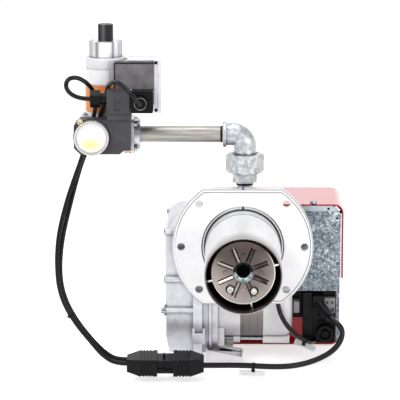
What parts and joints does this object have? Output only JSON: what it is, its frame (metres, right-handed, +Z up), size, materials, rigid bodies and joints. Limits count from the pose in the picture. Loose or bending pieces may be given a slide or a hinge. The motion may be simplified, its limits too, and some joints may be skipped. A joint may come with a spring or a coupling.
{
  "type": "gas burner",
  "caption": "Compact forced-draught gas burner: flanged blast tube with louvred disc, cast volute, motor under a red cover, and a gas train with coil valve and regulator.",
  "frame": {"origin": "centre of the flange's seal face, on the blast tube's axis", "axes": "-Y along the blast tube towards the flame, +Z up, +X to the motor's side as seen from the front"},
  "size_m": [0.3857, 0.354, 0.4641],
  "materials": {
    "black_plastic": "moulded",
    "brass": "turned",
    "cable_sheath": "extruded",
    "cast_aluminium": "sand-cast and blasted, satin",
    "ceramic": "glazed",
    "clear_plastic": "clear moulded",
    "copper": "enamelled wire",
    "dark_plastic": "moulded",
    "diecast": "die-cast",
    "galvanised_sheet": "galvanised, spangled",
    "gasket": "pressed mineral fibre",
    "grey_plastic": "moulded",
    "heat_tinted_steel": "heat tinted",
    "malleable_iron": "zinc coated",
    "orange_plastic": "moulded",
    "red_enamel": "gloss enamel",
    "signal_plastic": "moulded",
    "stainless_steel": "satin",
    "stator_steel": "stacked sheets, varnished",
    "zinc_steel": "bright zinc plated"
  },
  "bodies": {
    "burner": {"air_intake": "cast_aluminium", "blast_tube": "stainless_steel", "burner_housing": "cast_aluminium", "burner_lead": "cable_sheath", "burner_plug": "black_plastic", "cable_glands": "black_plastic", "clamp_screw": "zinc_steel", "coil_bracket": "zinc_steel", "coil_lead": "cable_sheath", "coil_plug": "black_plastic", "connector_plug": "black_plastic", "connector_socket": "black_plastic", "control_base": "black_plastic", "control_box": "dark_plastic", "flange_screws": "zinc_steel", "flange_seal": "gasket", "gas_elbow": "malleable_iron", "gas_manifold": "cast_aluminium", "gas_nipple": "malleable_iron", "gas_pipe": "malleable_iron", "housing_screws": "zinc_steel", "motor_bearings": "zinc_steel", "motor_capacitor": "black_plastic", "motor_inner_bell": "cast_aluminium", "motor_outer_bell": "cast_aluminium", "motor_stator": "stator_steel", "motor_tie_rods": "zinc_steel", "motor_winding": "copper", "mounting_flange": "cast_aluminium", "mounting_plate": "galvanised_sheet", "outlet_flange": "diecast", "panel_screws": "zinc_steel", "pressure_switch": "dark_plastic", "regulator_bonnet": "diecast", "regulator_housing": "diecast", "regulator_sleeve": "orange_plastic", "sensor_lead": "cable_sheath", "sensor_socket": "black_plastic", "solenoid_coil": "dark_plastic", "support_bracket": "cast_aluminium", "switch_cover": "clear_plastic", "switch_lead": "cable_sheath", "switch_plug": "dark_plastic", "terminal_block": "grey_plastic", "test_nipples": "brass", "union_nut": "malleable_iron", "valve_body": "diecast", "volute_cover": "cast_aluminium"},
    "fan": {"fan_wheel": "zinc_steel", "motor_rotor": "zinc_steel"},
    "damper": {"air_damper": "zinc_steel"},
    "reset": {"reset_button": "signal_plastic"},
    "head": {"gas_head": "stainless_steel", "diffuser_disc": "heat_tinted_steel", "ignition_electrode": "ceramic", "flame_probe": "ceramic"},
    "adjuster": {"head_screw": "zinc_steel"},
    "cap": {"regulator_cap": "diecast"},
    "dial": {"switch_dial": "grey_plastic"},
    "cover": {"cover_hood": "red_enamel"}
  },
  "joints": [
    {"name": "fan_spin", "type": "hinge", "parent": "burner", "child": "fan", "pos_m": [0, 0.09, -0.085], "axis": [1, 0, 0], "continuous": true},
    {"name": "damper_pivot", "type": "hinge", "parent": "burner", "child": "damper", "pos_m": [-0.02235, 0.1, -0.15], "axis": [0, -1, 0], "range_deg": [0, 85]},
    {"name": "reset_press", "type": "slide", "parent": "burner", "child": "reset", "axis": [0, -1, 0], "range_m": [0, 0.003], "stiffness_N_per_m": 300, "springref_m": -0.002},
    {"name": "adjuster_turn", "type": "hinge", "parent": "burner", "child": "adjuster", "pos_m": [0, 0.06, 0], "axis": [0, 1, 0], "range_deg": [0, 2880]},
    {"name": "head_slide", "type": "slide", "parent": "burner", "child": "head", "axis": [0, 1, 0], "range_m": [0, 0.008]},
    {"name": "cap_turn", "type": "hinge", "parent": "burner", "child": "cap", "pos_m": [-0.1816, 0.05, 0.28], "axis": [0, 0, 1], "range_deg": [0, 720]},
    {"name": "dial_turn", "type": "hinge", "parent": "burner", "child": "dial", "pos_m": [-0.1975, -0.02, 0.1495], "axis": [0, 1, 0], "range_deg": [0, 270]},
    {"name": "cover_off", "type": "slide", "parent": "burner", "child": "cover", "axis": [0, 1, 0], "range_m": [0, 0.25]}
  ],
  "couplings": [
    {"joint": "adjuster_turn", "follows": "head_slide", "rad_per_m": 6283.2}
  ]
}
